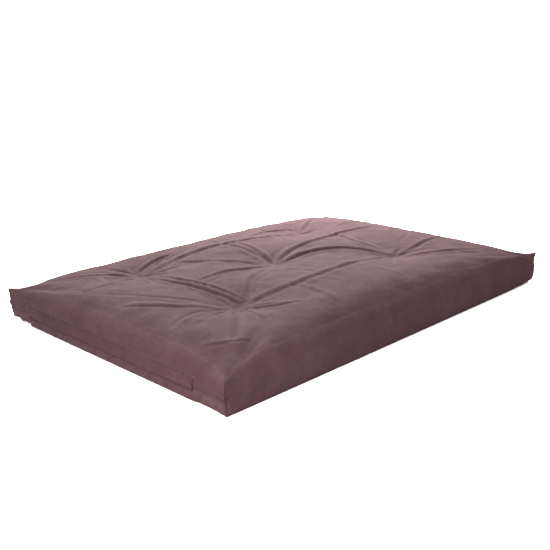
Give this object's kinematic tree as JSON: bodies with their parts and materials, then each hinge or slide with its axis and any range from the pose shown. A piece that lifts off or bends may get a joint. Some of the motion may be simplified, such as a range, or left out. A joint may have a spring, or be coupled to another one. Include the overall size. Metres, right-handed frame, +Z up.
{
  "type": "pet cushion bed",
  "caption": "Low rectangular pet cushion bed: a boxed cloth cover with a concealed zip at one end over a tufted, fibre-filled pad.",
  "frame": {"origin": "on the floor, under the middle of the bed's footprint", "axes": "+X along the length, away from the end wall that holds the zip; +Y across the bed towards its seamed back wall; +Z up"},
  "size_m": [1.16, 0.756, 0.1159],
  "materials": {
    "cover_canvas": "soft mauve-brown cotton canvas with a faint nap",
    "seam_thread": "matte spun thread to match the cloth",
    "label_ribbon": "satin ribbon, blank",
    "ticking": "undyed close-woven cotton",
    "fibre": "white hollow polyester fibre",
    "felt": "grey needle felt",
    "tuft_twine": "waxed cotton twine",
    "zip_tape": "ribbed woven polyester tape",
    "zip_coil": "moulded nylon coil",
    "zip_metal": "enamelled zinc alloy"
  },
  "bodies": {
    "root": {"cover_cloth": "cover_canvas", "end_seam_thread": "seam_thread", "back_seam_thread": "seam_thread", "pad_seam_thread": "seam_thread", "zip_stitching": "seam_thread", "zip_end_tacks": "seam_thread", "flap_topstitching": "seam_thread", "care_label": "label_ribbon", "pad_ticking_top": "ticking", "pad_ticking_bottom": "ticking", "fibre_fill": "fibre", "tuft_washers_top": "felt", "tuft_washers_bottom": "felt", "zip_tape_upper": "zip_tape", "zip_tape_lower": "zip_tape", "zip_coil_upper": "zip_coil", "zip_coil_lower": "zip_coil", "zip_top_stops": "zip_metal", "zip_bottom_stop": "zip_metal", "corner_seam_thread_front_left": "seam_thread", "corner_seam_thread_front_right": "seam_thread", "corner_seam_thread_back_left": "seam_thread", "corner_seam_thread_back_right": "seam_thread", "tuft_tie_middle": "tuft_twine", "tuft_tie_front_left": "tuft_twine", "tuft_tie_front_right": "tuft_twine", "tuft_tie_back_left": "tuft_twine", "tuft_tie_back_right": "tuft_twine"},
    "zip_flap": {"zip_flap": "cover_canvas"},
    "zip_slider": {"zip_slider": "zip_metal"},
    "zip_pull": {"zip_pull": "zip_metal"}
  },
  "joints": [
    {"name": "flap_lift", "type": "hinge", "parent": "root", "child": "zip_flap", "pos_m": [-0.5731, 0.012, 0.052], "axis": [0, 1, 0], "range_deg": [0, 110]},
    {"name": "slider_travel", "type": "slide", "parent": "root", "child": "zip_slider", "axis": [0, 1, 0], "range_m": [0, 0.5546]},
    {"name": "pull_swing", "type": "hinge", "parent": "zip_slider", "child": "zip_pull", "pos_m": [-0.575, -0.2653, 0.0375], "axis": [0, 0, 1], "range_deg": [0, 85]}
  ],
  "couplings": [
    {"joint": "pull_swing", "follows": "flap_lift", "ratio": 0.75}
  ]
}
